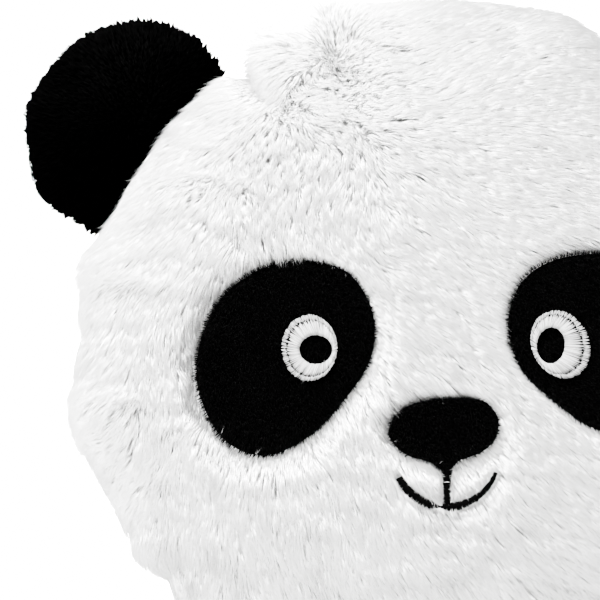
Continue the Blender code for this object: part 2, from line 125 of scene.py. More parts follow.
# Face, in millimetres from the head's centre, to the right and up.
PATCH_OUTLINE_MM = (
    (-52, 44.3), (-36, 38.3), (-27, 22.5), (-28, 5), (-38, -11), (-52, -26),
    (-70, -34.5), (-87, -28.5), (-97, -11), (-97.8, 8), (-89, 28.5), (-72, 41.3),
)  # fmt: skip
NOSE_OUTLINE_MM = (
    (2.4, -41), (-4, -37.2), (-12.7, -34.7), (-18.2, -30.5), (-21, -25), (-17.5, -17.5), (-9, -13),
    (3, -11.3), (15, -11.6), (21, -15.5), (23.6, -21), (21.8, -28.3), (16, -33.4), (7.5, -36.6),
)  # fmt: skip
# The right patch is the left one's mirror image, sewn on a little higher and turned outwards.
RIGHT_PATCH_TURN = math.radians(12)
RIGHT_PATCH_SHIFT = (0.0027, 0.004)
# Ovals on the face: centre, half axes and tilt.
LEFT_RING = ((-0.0529, 0.009), (0.0112, 0.0134), 0.0)
LEFT_PUPIL = ((-0.0503, 0.0083), (0.0067, 0.0059), 0.0)
RIGHT_RING = ((0.0485, 0.0104), (0.0116, 0.0142), math.radians(26))
RIGHT_PUPIL = ((0.0446, 0.01), (0.0057, 0.0073), math.radians(-6))
PHILTRUM = ((0.0026, -0.0405), (0.0026, -0.0545))
SMILE_CENTRE = (0.0024, -0.034)
SMILE_RADIUS = 0.0213
SMILE_ENDS = (math.radians(206), math.radians(340))
MOUTH_HALF_WIDTH = 0.0016
MOUTH_DEPTH = 0.0002  # how far the mouth's threads lie below the fur's tips
# Half widths of the mouth's lines from end to end. The smile's thin place is a gap in it.
PHILTRUM_HALF_WIDTHS = (0.0021, 0.0016, 0.0015, 0.0017)
SMILE_HALF_WIDTHS = (
    0.0013, 0.0017, 0.0018, 0.0018, 0.0018, 0.0017, 0.0003, 0.0018, 0.0018, 0.0016, 0.0015,
    0.0013, 0.0012, 0.0011, 0.0008,
)  # fmt: skip

RING_STITCHES = 230
RING_ROW = 0.7  # where the inner row of a ring ends, from hole to edge
RING_TOP = 0.0017
RING_SLITS = (0.9, 4.3)  # the turns between which the two rows leave gaps
RING_THREADS = (0.00017, 0.00016)  # radii of the inner and the outer row
MOUTH_THREAD = 0.00022
LOCK_THREAD = 0.0002
STITCH_PITCH = 0.0003
LOCK_PITCH = 0.0024  # from one stitch round a sewn-on piece to the next
THREAD_SIDES = 6
THREAD_FLATNESS = 0.9
STITCH_BULGE = np.array((0.0006, 0.0001, 0, 0.0001, 0.0006))  # how a stitch's ends dive

# Ears.
# How far the head's fur covers an ear's foot, from its outer end to its inner end.
EAR_COVER = ((-0.041, -0.032, -0.016, 0.001, 0.016, 0.028, 0.041),
             (-0.0012, -0.0026, -0.0018, 0.0006, 0.0022, -0.001, -0.0012))
EAR_PILE = 0.0046
EAR_PILE_RADIUS = 0.00024
EAR_INSET = 0.0026
EAR_STRANDS = 64000
EAR_HALF_THICKNESS = 0.0125
EAR_MIDDLE = (0.0, 0.024)
EAR_PLACE = (abs(JOINTS["left_ear"]["pos_m"][0]), JOINTS["left_ear"]["pos_m"][2])
EAR_ALONG = (JOINTS["left_ear"]["axis"][0], JOINTS["left_ear"]["axis"][2])
EAR_OUT = (EAR_ALONG[1], EAR_ALONG[0])
EAR_OUTLINE_MM = (
    (41.5, 0), (45.5, 9), (44.5, 20), (41, 32), (30.5, 43.5), (14, 52),
    (-3, 53.5), (-19, 50.5), (-31, 41), (-41.5, 29), (-43.5, 16), (-41, 0),
)  # fmt: skip

# Stray white hairs: place in millimetres, turn from straight down, length and number.
LINT = (
    (-88.3, -25.6, 160, 3.6, 3), (-74.5, -33.6, 155, 3.0, 5), (-43.3, 41.8, -20, 1.6, 2),
    (-38.5, 38.6, -25, 1.6, 2), (1.2, -12.8, 20, 0.7, 3), (12.6, -31.2, 0, 0.4, 2),
    (-18.0, -17.5, 55, 2.2, 3), (-19.0, -29.0, 110, 2.4, 2), (-0.5, -37.5, 125, 2.4, 3),
    (-55.4, -3.6, -20, 2.4, 3), (-46.6, 3.6, 200, 1.0, 3),
)  # fmt: skip
LINT_DEPTH = 0.0024
LINT_RADIUS = 0.000045

# Sewn-on pieces: depths below the fur's tips, and their pile.
PATCH_TOP = 0.0046
PATCH_BOTTOM = 0.0085
NOSE_TOP = 0.0036
PATCH_PILE = 0.0019
PATCH_PILE_RADIUS = 0.00016
PATCH_STRANDS = 7.5e6  # to a square metre

# Tones, from dark to light.
# The darkest white tones carry painted shade: beside sewn-on pieces and at the strands' roots.
WHITE_TONES = (0.32, 0.5, 0.66, 0.78, 0.85, 0.9, 0.93, 0.95)
EAR_TONES = (0.0005, 0.0013, 0.003)
BLACK_TONES = (0.0026, 0.0064, 0.013)
THREAD_TONES = (0.33, 0.24, 0.15)

# Light.
KEY_POWER = 82
FILL_POWER = 15
BACK_POWER = 19
GLOW = 0.3
BACKDROP = 7.0  # how bright the backdrop looks, which bleaches it out
EXPOSURE = 1.87
FLOOR_RADIUS = 1.9

# Where the picture looks from: straight on, far away, at the upper left of the face.
VIEW_CENTRE = (-0.0567, 0.02835)
VIEW_WIDTH = 0.2441
VIEW_DISTANCE = 10.0
SENSOR = 36.0


# ---- small tools


def smooth_curve(corners, steps, closed):
    """Points of a Catmull-Rom curve through corners in millimetres."""
    corners = np.array(corners) / 1000
    before, beyond = 2 * corners[0] - corners[1], 2 * corners[-1] - corners[-2]
    ends = (corners[-1:], corners[:2]) if closed else ([before], [beyond])
    line = np.concatenate((ends[0], corners, ends[1]))
    t = (np.arange(steps) / steps)[:, None]
    points = []
    for a, b, c, d in zip(line[:-3], line[1:-2], line[2:-1], line[3:], strict=True):
        bend = 2 * a - 5 * b + 4 * c - d
        twist = 3 * (b - c) + d - a
        points.append(b + 0.5 * ((c - a) * t + bend * t**2 + twist * t**3))
    return np.concatenate(points if closed else (*points, corners[-1:]))


def size_of(vectors):
    return np.linalg.norm(vectors, axis=-1)


def unit(vectors):
    return vectors / np.maximum(size_of(vectors)[..., None], 1e-12)


def circle(turns):
    """Points of a flat circle of radius 1."""
    return np.column_stack((np.cos(turns), np.sin(turns)))


def rotated(ways, turn):
    """Directions in a plane turned by angles."""
    x, z = ways[:, 0], ways[:, 1]
    return np.column_stack(
        (x * np.cos(turn) - z * np.sin(turn), x * np.sin(turn) + z * np.cos(turn))
    )


def in_space(ways):
    """Directions in the face's plane as directions in space."""
    return np.insert(ways, 1, 0, axis=1)


def along_surface(ways, out):
    """Directions without the part of them that leaves the surface."""
    return unit(ways - np.sum(ways * out, axis=1)[:, None] * out)


def eased(share):
    return share * share * (3 - 2 * share)


def lengths(path):
    """How far along a path each of its points is."""
    return np.concatenate(([0], np.cumsum(size_of(np.diff(path, axis=0)))))


def places_at(at, path, along):
    """Points of a flat path at distances along it."""
    return np.stack([np.interp(at, along, path[:, i]) for i in (0, 1)], axis=-1)


def noise(points, cell, seed):
    """Smooth random values between -1 and 1 in space, one feature to a cell."""
    size = 64
    lattice = np.random.default_rng(seed).uniform(-1, 1, (size, size, size))
    place = points / cell
    base = np.floor(place).astype(int)
    part = eased(place - base)
    total = np.zeros(len(points))
    for corner in np.ndindex(2, 2, 2):
        weight = np.prod(np.where(corner, part, 1 - part), axis=1)
        total += weight * lattice[tuple(((base + corner) % size).T)]
    return total


def inside(points, outline):
    """Which points lie inside a closed outline."""
    x, z = points.T
    crossings = np.zeros(len(points), bool)
    for a, b in zip(outline, np.roll(outline, -1, axis=0), strict=True):
        at = a[0] + (z - a[1]) * (b[0] - a[0]) / (b[1] - a[1] + 1e-15)
        crossings ^= ((a[1] > z) != (b[1] > z)) & (x < at)
    return crossings


def grow(outline, by):
    """The closed outline moved outwards by a distance, or inwards where it is negative."""
    ahead = np.roll(outline, -1, axis=0) - np.roll(outline, 1, axis=0)
    out = unit(np.column_stack((ahead[:, 1], -ahead[:, 0])))
    if np.sum(out * (outline - outline.mean(axis=0))) < 0:
        out = -out
    return outline + by * out


def line_distance(points, a, b):
    """How far each point is from the straight line between two others."""
    along = np.clip((points - a) @ (b - a) / ((b - a) @ (b - a)), 0, 1)
    return size_of(points - a - along[:, None] * (b - a))


def edge_distance(points, outline):
    """How far each point is from a closed outline."""
    nearest = np.full(len(points), 1.0)
    for a, b in zip(outline, np.roll(outline, -1, axis=0), strict=True):
        nearest = np.minimum(nearest, line_distance(points, a, b))
    return nearest


def ring_quads(rings, count, looped=False):
    """Faces between rings of points, and from the last ring to the first where they loop."""
    index = np.arange(rings * count).reshape(rings, count)
    if looped:
        index = np.concatenate((index, index[:1]))
    after = np.roll(index, -1, axis=1)
    return np.stack((index[:-1], after[:-1], after[1:], index[1:]), axis=-1).reshape(-1, 4)


def triangles(quads):
    return np.concatenate((quads[:, (0, 1, 2)], quads[:, (0, 2, 3)]))


def capped(rings, count):
    """Triangles of rings closed by a point at each end, which follow the rings' points."""
    here = np.arange(count)
    after = (here + 1) % count
    start = np.column_stack((np.full(count, rings * count), after, here))
    end = np.column_stack((start[:, 0] + 1, here, after)) + (0, *[(rings - 1) * count] * 2)
    return np.concatenate((triangles(ring_quads(rings, count)), start, end))


def quick_mesh(
    name, points, faces, materials, slot=None, nodes=(), face_slots=None, body="head", mend=0
):
    """A smooth mesh object from arrays of points and faces, under its body, with the parts it
    stands for hidden.
    """
    mesh = bpy.data.meshes.new(name)
    mesh.vertices.add(len(points))
    mesh.vertices.foreach_set("co", np.asarray(points, np.float32).ravel())
    faces = np.asarray(faces, np.int32)
    sides = faces.shape[1]
    mesh.loops.add(faces.size)
    mesh.loops.foreach_set("vertex_index", faces.ravel())
    mesh.polygons.add(len(faces))
    mesh.polygons.foreach_set("loop_start", np.arange(0, faces.size, sides, dtype=np.int32))
    if face_slots is not None:
        mesh.polygons.foreach_set("material_index", np.asarray(face_slots, np.int32))
    mesh.update(calc_edges=True)
    if mend:
        work = bmesh.new()
        work.from_mesh(mesh)
        bmesh.ops.remove_doubles(work, verts=work.verts, dist=mend)
        bmesh.ops.recalc_face_normals(work, faces=work.faces)
        work.to_mesh(mesh)
        work.free()
    mesh.shade_smooth()
    made = bpy.data.objects.new(name, mesh)
    bpy.context.scene.collection.objects.link(made)
    for item in materials:
        mesh.materials.append(item)
    if body is not None:
        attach(made, body)
    if nodes:
        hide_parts(*nodes)
    return made


# ---- materials


def plain_shader(name, colour, roughness, sheen=0.0, specular=0.3):
    made = bpy.data.materials.new(name)
    made.use_nodes = True
    inputs = made.node_tree.nodes["Principled BSDF"].inputs
    inputs["Base Color"].default_value = (*colour, 1.0)
    for word, value in (
        ("Roughness", roughness),
        ("Specular IOR Level", specular),
        ("Sheen Weight", sheen),
        ("Sheen Roughness", 0.5),
    ):
        inputs[word].default_value = value
    return made


def add_node(tree, kind, **inputs):
    """A shader node, with inputs set to values or linked to other nodes' outputs."""
    made = tree.nodes.new(f"ShaderNode{kind}")
    for name, value in inputs.items():
        if isinstance(value, bpy.types.NodeSocket):
            tree.links.new(value, made.inputs[name])
        else:
            made.inputs[name].default_value = value
    return made


def cloth_shader(name, dark, light, scale, bump, roughness=0.95, specular=0.3):
    """Knitted backing cloth: two tones of a fine weave, with a bump."""
    made = plain_shader(name, light, roughness, specular=specular)
    tree = made.node_tree
    place = add_node(tree, "TexCoord").outputs["Object"]
    weave = add_node(tree, "TexVoronoi", Scale=scale, Vector=place).outputs["Distance"]
    clouds = add_node(tree, "TexNoise", Scale=scale / 12, Vector=place).outputs["Fac"]
    mix = add_node(tree, "Math")
    mix.operation = "MULTIPLY"
    tree.links.new(weave, mix.inputs[0])
    tree.links.new(clouds, mix.inputs[1])
    ramp = add_node(tree, "ValToRGB", Fac=mix.outputs[0])
    ramp.color_ramp.elements[0].color = (*dark, 1)
    ramp.color_ramp.elements[1].color = (*light, 1)
    ramp.color_ramp.elements[1].position = 0.5
    height = add_node(tree, "Bump", Strength=bump, Distance=0.0003, Height=weave)
    shader = tree.nodes["Principled BSDF"]
    tree.links.new(ramp.outputs["Color"], shader.inputs["Base Color"])
    tree.links.new(height.outputs["Normal"], shader.inputs["Normal"])
    return made


def grey(value):
    return (value, value, value * 0.995)


# ---- the stuffed head


def outline_lump(points):
    """How far the fur stands out or in near the head's rim, for points round its middle."""
    turn = np.degrees(np.arctan2(points[:, 2], points[:, 0])) % 360
    total = np.zeros(len(points))
    for at, half, height in OUTLINE_LUMPS:
        total += height * np.exp(-(((turn - at) / half) ** 2))
    far = np.hypot(points[:, 0], points[:, 2]) / RADIUS
    return total * np.clip((far - 0.78) / 0.12, 0, 1)


def head_grid(below):
    """Points of the dished head a distance below the fur's tips: rings by turns by 3."""
    ring = np.linspace(0, math.pi, GRID_RINGS + 1)[:, None]
    turn = np.linspace(0, math.tau, GRID_TURNS + 1)[None, :]
    out = (RADIUS - below) * np.sin(ring) ** (2 / HEAD_POWER)
    back = -(HALF_DEPTH - below) * np.cos(ring)
    sides = np.broadcast_arrays(out * np.cos(turn), back, out * np.sin(turn))
    points = np.stack(sides, axis=-1)
    flat = points.reshape(-1, 3)
    away = unit(flat / np.array((1, HALF_DEPTH / RADIUS, 1)) ** 2)
    lumps = 0.0014 * noise(flat + 5, 0.045, 1) + 0.0005 * noise(flat + 5, 0.018, 2)
    pinch = -0.0025 * np.exp(-((flat[:, 1] / 0.005) ** 2))
    rim = 0.3 * outline_lump(flat)
    flat = flat + away * (lumps + pinch + rim)[:, None]
    flat[:, 2] = np.maximum(flat[:, 2] + CENTRE_Z, 0.0032 if below else 0.0)
    return flat.reshape(points.shape)


def grid_normals(grid):
    along, across = np.gradient(grid, axis=(0, 1))
    across[:, 0] = across[:, -1] = grid[:, 1] - grid[:, -2]
    normals = unit(np.cross(along, across))
    if np.sum(normals * (grid - grid.mean(axis=(0, 1)))) < 0:
        normals = -normals
    normals[0] = (0, -1, 0)
    normals[-1] = (0, 1, 0)
    return normals


def at_grid(values, row, column):
    """Values of the grid between its points."""
    r = np.minimum(np.floor(row).astype(int), values.shape[0] - 2)
    c = np.minimum(np.floor(column).astype(int), values.shape[1] - 2)
    s, t = (row - r)[:, None], (column - c)[:, None]
    low, high = (values[at, c] * (1 - t) + values[at, c + 1] * t for at in (r, r + 1))
    return low * (1 - s) + high * s


def scatter(grid, rows, count, rng):
    """Even random places on part of the grid, as rows and columns."""
    first, last = rows
    corner, below = grid[first:last, :-1], grid[first + 1 : last + 1]
    a, b, c = below[:, :-1] - corner, grid[first:last, 1:] - corner, below[:, 1:] - corner
    area = size_of(np.cross(a, c)) + size_of(np.cross(b, c))
    edges = np.cumsum(area.ravel())
    spots = (np.arange(count) + rng.random(count)) / count * edges[-1]
    cell = np.minimum(np.searchsorted(edges, spots), area.size - 1)
    row = first + cell // area.shape[1] + rng.random(count)
    column = cell % area.shape[1] + rng.random(count)
    return row, column


# ---- strands


def spike_mesh(rings, tips, radius):
    """Closed three-sided spikes through one or two rings to a tip, all in one mesh."""
    count, levels = len(tips), len(rings)
    ahead = unit(tips - rings[0])
    helper = np.where(np.abs(ahead[:, 1:2]) < 0.8, (0.0, 1.0, 0.0), (1.0, 0.0, 0.0))
    side = unit(np.cross(ahead, helper))
    other = np.cross(ahead, side)
    top = 3 * levels
    points = np.empty((count, top + 1, 3))
    points[:, top] = tips
    pattern = [(0, 2, 1)]
    for k in range(3):
        turn = math.tau * k / 3 + 0.5
        out = (math.cos(turn) * side + math.sin(turn) * other) * radius[:, None]
        for level, ring in enumerate(rings):
            points[:, 3 * level + k] = ring + out * (1 if level == levels - 1 else 0.8)
        after = (k + 1) % 3
        for low in range(0, top - 3, 3):
            a, b = low + k, low + after
            pattern += [(a, b, b + 3), (a, b + 3, a + 3)]
        pattern.append((top - 3 + k, top - 3 + after, top))
    faces = np.array(pattern) + (top + 1) * np.arange(count)[:, None, None]
    return points.reshape(-1, 3), faces.reshape(-1, 3)


def clump(points, cell, rng):
    """The nearest clump to each point, numbered from 0, on a jittered lattice in space."""
    base = np.floor((points + 1.0) / cell).astype(np.int64)
    jitter = rng.random((SPAN, SPAN, SPAN, 3))
    best = np.full(len(points), 1e9)
    chosen = np.zeros(len(points), np.int64)
    for step in np.ndindex(3, 3, 3):
        near = base + step - 1
        centre = (near + jitter[tuple((near % SPAN).T)]) * cell - 1.0
        distance = size_of(points - centre)
        number = (near[:, 0] * FAR + near[:, 1]) * FAR + near[:, 2]
        chosen = np.where(distance < best, number, chosen)
        best = np.minimum(best, distance)
    return np.unique(chosen, return_inverse=True)[1]


def dice(groups, rng):
    """One random number from 0 to 1 for each group, given to all its members."""
    return rng.random(groups.max() + 1)[groups]


def group_mean(values, groups):
    """The mean of each row's group, for every row."""
    count = np.bincount(groups).astype(float)
    return np.stack([(np.bincount(groups, v) / count)[groups] for v in values.T], axis=-1)


def leftness(place):
    """1 on the left of the face, where the fur is roughest, and 0 on the right."""
    return 0.5 - 0.5 * np.tanh((place[:, 0] + 0.03) / 0.03)


def nap_direction(place, front):
    """The way the fur is combed, as a direction in the face's plane, and how upright it is."""
    left = leftness(place)
    nap = np.zeros((len(place), 2))
    upright = np.zeros(len(place))
    if front:
        for x, z, turn in COMB:
            far = np.sum((place - np.array((x, z)) / 1000) ** 2, axis=1)
            way = np.array((math.sin(math.radians(turn)), -math.cos(math.radians(turn))))
            nap += way / (far + COMB_SPREAD**2)[:, None] ** 2
        for x, z, wide, high in CRESTS:
            off = (place * 1000 - (x, z)) / (wide, high)
            upright += np.exp(-np.sum(off**2, axis=1))
    else:
        nap += (0.0, -1.0)
        nap[:, 0] = 0.14 * np.tanh(place[:, 0] / 0.05)
    space = np.column_stack((place, np.full(len(place), 0.0 if front else 0.5)))
    turn = (8 + 14 * left) * noise(space + 3, 0.026, 11)
    turn = np.radians(turn + (6 + 12 * left) * noise(space + 3, 0.009, 12))
    return rotated(unit(nap), turn), np.clip(upright, 0, 1)


# ---- the face's outlines

PATCH = smooth_curve(PATCH_OUTLINE_MM, 6, True)
FLIPPED = PATCH * (-1, 1)
MIDDLE = FLIPPED.mean(axis=0)
RIGHT_PATCH = MIDDLE + rotated(FLIPPED - MIDDLE, RIGHT_PATCH_TURN) + RIGHT_PATCH_SHIFT
PATCHES = {"left": PATCH, "right": RIGHT_PATCH}
NOSE = smooth_curve(NOSE_OUTLINE_MM, 6, True)


def mouth_distance(points):
    """How far each point is from the middle of the mouth's two lines."""
    away = points - SMILE_CENTRE
    turn = np.clip(np.mod(np.arctan2(away[:, 1], away[:, 0]), math.tau), *SMILE_ENDS)
    arc = size_of(away - circle(turn) * SMILE_RADIUS)
    return np.minimum(line_distance(points, *np.array(PHILTRUM)), arc)


def on_mouth(points):
    return mouth_distance(points) < MOUTH_HALF_WIDTH + 0.0001


def near_pieces(points, margin):
    """The outline of each patch and the nose, and which points are in its box and a margin."""
    for outline in (*PATCHES.values(), NOSE):
        low, high = outline.min(axis=0) - margin, outline.max(axis=0) + margin
        yield outline, np.all((points > low) & (points < high), axis=1)


def on_piece(points):
    """Which places of the face are covered by a patch or the nose."""
    found = np.zeros(len(points), bool)
    for outline, close in near_pieces(points, 0):
        found[close] |= inside(points[close], outline)
    return found


def is_covered(points):
    """Which places of the face have a patch, the nose or the mouth on them."""
    return on_piece(points) | on_mouth(points)


def piece_distance(points):
    """How far each place of the face is from the edge of the nearest patch or the nose."""
    nearest = np.full(len(points), 2 * RECESS)
    for outline, close in near_pieces(points, RECESS):
        nearest[close] = np.minimum(nearest[close], edge_distance(points[close], outline))
    return nearest


# ---- white fur


def tufted(place, front):
    """Where the fur stands in rough tufts: round the whorl and below the left ear."""
    spots = (((-0.028, 0.107), 0.034), ((-0.08, 0.085), 0.036), ((-0.118, -0.02), 0.042))
    total = np.zeros(len(place))
    for centre, size in spots:
        total += np.exp(-((size_of(place - centre) / size) ** 2))
    return np.clip(total, 0, 1) * front


def ear_side(points):
    return np.where(points[:, 0] < 0, -1.0, 1.0)


def ear_frame(points):
    """Points as seen from the nearer ear's fold: along it, towards the back, and out."""
    x = ear_side(points) * points[:, 0] - EAR_PLACE[0]
    z = points[:, 2] - EAR_PLACE[1]
    along = -x * EAR_ALONG[0] + z * EAR_ALONG[1]
    return np.column_stack((along, points[:, 1], x * EAR_OUT[0] + z * EAR_OUT[1]))


def from_ear_frame(local, side):
    """Points along the fold, towards the back and out from it, as points of the object."""
    along, back, out = np.asarray(local).T
    x = side * (EAR_PLACE[0] - along * EAR_ALONG[0] + out * EAR_OUT[0])
    return np.column_stack((x, back, EAR_PLACE[1] + along * EAR_ALONG[1] + out * EAR_OUT[1]))


def under_ear(points):
    """Which places lie in the seam where an ear is sewn in."""
    along, back, out = ear_frame(points).T
    return (np.abs(along) < 0.041) & (np.abs(back) < 0.0012) & (out > -0.02)


def beside_ear(points, facing, rng):
    """Fur next to an ear, pushed to the ear's front or back and laid down at its foot."""
    local = ear_frame(points)
    along, back, out = local.T
    near = np.clip((0.044 - np.abs(along)) / 0.003, 0, 1) * np.clip((out + 0.006) / 0.004, 0, 1)
    top = np.interp(along, *EAR_COVER) + 0.0026 * noise(local, 0.0055, 27)
    top += rng.uniform(-0.0032, 0.0014, len(points))
    lower = np.minimum(out, top)
    room = 0.0006 + 0.5 * np.maximum(lower, 0) + 0.0028 * np.clip((lower + 0.004) / 0.004, 0, 1)
    aside = np.where(facing * back < room, facing * room, back)
    back, out = back * (1 - near) + aside * near, out * (1 - near) + lower * near
    moved = from_ear_frame(np.column_stack((along, back, out)), ear_side(points))
    return np.where((near > 0)[:, None], moved, points)


def head_strands(grid, normals, rows, count, front, seed):
    """Strands on one side of the head: roots, middles, tips, radius, tone and painted root shade.
    """
    rng = np.random.default_rng(seed)
    row, column = scatter(grid, rows, count, rng)
    roots = at_grid(grid, row, column)
    out = unit(at_grid(normals, row, column))
    place = face_place(roots)
    nap, upright = nap_direction(place, front)
    keep = ~under_ear(roots)
    if front:
        lee = place + nap * LEE_REACH
        keep &= ~(on_piece(place) & on_piece(lee)) & ~(on_mouth(place) & on_mouth(lee))
    roots, out, place, nap, upright = (it[keep] for it in (roots, out, place, nap, upright))
    count = len(roots)
    fine, small, large = (clump(roots, cell, rng) for cell in (0.001, 0.0023, 0.008))
    rough = tufted(place, front)
    left = leftness(place)
    below = 0.5 - 0.5 * np.tanh((place[:, 1] + 0.04) / 0.025)
    stray = np.radians(8 + 14 * rough) * (dice(small, rng) - 0.5) * 2
    stray += np.radians(7 + 8 * rough) * (dice(large, rng) - 0.5) * 2
    stray += np.radians(7) * rng.standard_normal(count)
    flow = along_surface(in_space(rotated(nap, stray)), out)
    # Overlapping rows of locks, each from -0.5 at its start up to 0.4 near its end.
    lock = np.mod(1.1 * noise(roots + 7, 0.03, 22) - roots[:, 2] / ROW_PITCH, 1)
    lock = (lock - 0.5) * np.clip((1 - lock) / 0.12, 0, 1)
    lock *= np.clip(0.7 + noise(roots * (0.6, 1, 1) + 9, 0.018, 23), 0, 1)
    high = 0.9 + 0.28 * upright + (0.07 + 0.07 * left) * noise(roots, 0.011, 21)
    high += (0.08 + 0.32 * np.maximum(left, 0.8 * below)) * lock
    high += 0.12 * (dice(small, rng) - 0.5) + 0.08 * (dice(large, rng) - 0.5)
    rise = STRAND_RISE * high * (1 - 0.22 * rng.random(count) ** 2)
    reach = STRAND_LENGTH * (1.0 - 0.7 * upright) * rng.uniform(0.75, 1.15, count)
    reach *= 1 + 0.25 * lock
    patchy = noise(roots * (1, 1, 1.3) + 4, 0.01, 24)
    # Painted shade: darker where a row of locks starts under the row before it, and a little
    # darker towards the bottom of the face. The patchy part is random tone.
    shade = 0.24 * np.maximum(left, below) * np.clip(-2 * lock, 0, 1)
    shade += 0.05 * below - (0.08 + 0.1 * left + 0.3 * below) * patchy
    # Painted root shade: a strand's lower faces are this many tones darker, fewer where it stands
    # up.
    painted_root_shade = np.where(upright > 0.25, 1, 3)
    if front:
        beside = np.clip(piece_distance(place) / RECESS, 0, 1)
        beside = np.where(on_piece(place), 0, eased(beside))
        near = [on_piece(place + PAINTED_SHADE_STEP * t) for t in (0.35, 0.7, 1.05, 1.4)]
        painted_shade_strip = np.clip(1.6 * np.mean(near, axis=0), 0, 1)
        rise *= (0.45 + 0.55 * beside) * (1 - 0.48 * painted_shade_strip)
        reach *= 0.62 + 0.38 * beside
        # Painted shade in the strip beside a piece's upper-left side.
        shade += 0.76 * painted_shade_strip
        # No painted root shade beside a piece's other sides and round the mouth, so the fur there
        # stays light.
        painted_root_shade[(beside < 0.75) & (painted_shade_strip == 0)] = 0
        painted_root_shade[mouth_distance(place) < 0.0045] = 0
    rise += 0.7 * outline_lump(roots - (0, 0, CENTRE_Z))
    tips = roots + out * rise[:, None] + flow * reach[:, None]
    hold_small, hold_large = 0.26 * (1 - 0.8 * upright), 0.12 * (1 - 0.8 * upright)
    for group, hold in ((fine, 0.3 + 0.05 * upright), (small, hold_small), (large, hold_large)):
        tips += (group_mean(tips, group) - tips) * hold[:, None]
    if front:
        tips = trimmed(roots, tips, out, rng)
    middles = roots + 0.38 * (tips - roots) + out * (0.34 * rise)[:, None]
    facing = -1 if front else 1
    tips = beside_ear(tips, facing, rng)
    middles = beside_ear(middles, facing, rng)
    for points in (middles, tips):
        points[:, 2] = np.maximum(points[:, 2], 0.0004)
    radius = STRAND_RADIUS * rng.uniform(0.75, 1.25, count) * (1.0 if front else 1.6)
    tone = 0.7 + 0.16 * (dice(small, rng) - 0.5) + 0.16 * rng.standard_normal(count) - shade
    return roots - out * 0.0006, middles, tips, radius, tone, painted_root_shade


def trimmed(roots, tips, out, rng):
    """Strands that would lie over a patch, the nose or the mouth, cut back to its edge."""
    start = face_place(roots)
    track = tips[:, (0, 2)] - roots[:, (0, 2)]
    share = np.ones(len(roots))
    for t in np.arange(1.0, 0.05, -0.1):
        share = np.where(is_covered(start + track * t), t - 0.05, share)
    ends = start + track * share[:, None]
    cut = (share < 1) & ~is_covered(start)
    over = rng.normal(0.0, 0.07, len(share))
    for centre, size, part, more in CROSSINGS:
        near = size_of(ends - centre) < size
        extra = more * rng.uniform(0.2, 1, len(roots))
        over += np.where(near & (rng.random(len(roots)) < part), extra, 0)
    share = np.where(cut, np.clip(share + over, 0.1, 1), 1)[:, None]
    step = tips - roots
    upward = np.sum(step * out, axis=1)[:, None] * out
    return roots + (step - upward) * share + upward * (0.62 + 0.38 * share)


def white_fur(grid, normals, tones):
    """The fur of the face and the back, in sectors, each strand in two tones with painted root
    shade.
    """
    half = GRID_RINGS // 2
    for label, rows, count, front, seed, sectors in (
        ("face", (0, half), FRONT_STRANDS, 1, 31, FRONT_SECTORS),
        ("back", (half, GRID_RINGS), BACK_STRANDS, 0, 32, BACK_SECTORS),
    ):
        roots, middles, tips, radius, tone, painted_root_shade = head_strands(
            grid, normals, rows, count, front, seed
        )
        shade = np.clip(np.floor(tone * (len(tones) - 1)).astype(int), -1, len(tones) - 2)
        turn = np.mod(np.arctan2(roots[:, 2] - CENTRE_Z, roots[:, 0]) / math.tau, 1)
        sector = np.floor(turn * sectors).astype(int) % sectors
        for k in range(sectors):
            mine = sector == k
            mesh = spike_mesh((roots[mine], middles[mine]), tips[mine], radius[mine])
            # Painted shade: the lower faces are darker by the painted root shade; the tip faces
            # are one tone lighter.
            slots = np.repeat(np.maximum(shade[mine] - painted_root_shade[mine], 0), 10).reshape(-1, 10)
            slots[:, (3, 6, 9)] = shade[mine][:, None] + 1  # the faces at the tip
            quick_mesh(f"{label}_fur_{k + 1}", *mesh, tones, "white_fur", (), slots.ravel())
        if front:
            # Loose hairs take their strand's tip tone, painted shade included.
            loose_hairs(middles, tips, shade + 1, tones)


def loose_hairs(middles, tips, shade, tones):
    """Fine single hairs that lie over the locks of the face's fur."""
    rng = np.random.default_rng(33)
    picks = rng.integers(0, len(tips), LOOSE_HAIRS)
    starts = middles[picks]
    ends = tips[picks] + (tips[picks] - starts) * rng.uniform(-0.15, 0.35, (LOOSE_HAIRS, 1))
    ends += rng.normal(0, 0.0006, ends.shape)
    start_hit, end_hit = (is_covered(face_place(p)) for p in (starts, ends))
    ends = np.where((start_hit | end_hit)[:, None], starts + (ends - starts) * 0.2, ends)
    radius = HAIR_RADIUS * rng.uniform(0.7, 1.3, LOOSE_HAIRS)
    for k, mine in enumerate(np.array_split(np.arange(LOOSE_HAIRS), 4)):
        mesh = spike_mesh((starts[mine],), ends[mine], radius[mine])
        slots = np.repeat(shade[picks[mine]], 4)
        quick_mesh(f"face_loose_hairs_{k + 1}", *mesh, tones, "white_fur", (), slots)


def head_skin(outer, inner, finish):
    """The two cloth panels under the fur, each a thin closed shell."""
    half = GRID_RINGS // 2
    for word, rows in (
        ("face", np.arange(half + 1)),
        ("back", np.arange(GRID_RINGS, half - 1, -1)),
    ):
        part = np.concatenate((outer[rows], inner[rows[::-1]]))[:, :-1]
        made = quick_mesh(
            f"{word}_cloth", part.reshape(-1, 3), ring_quads(*part.shape[:2]), [finish],
            "white_fur", [f"{word}_panel"], mend=1e-5,
        )  # fmt: skip


# ---- patches, nose and their pile


def face_place(points):
    """Places in the face's plane that points stand over."""
    return points[:, (0, 2)] - (0, FACE_Z)


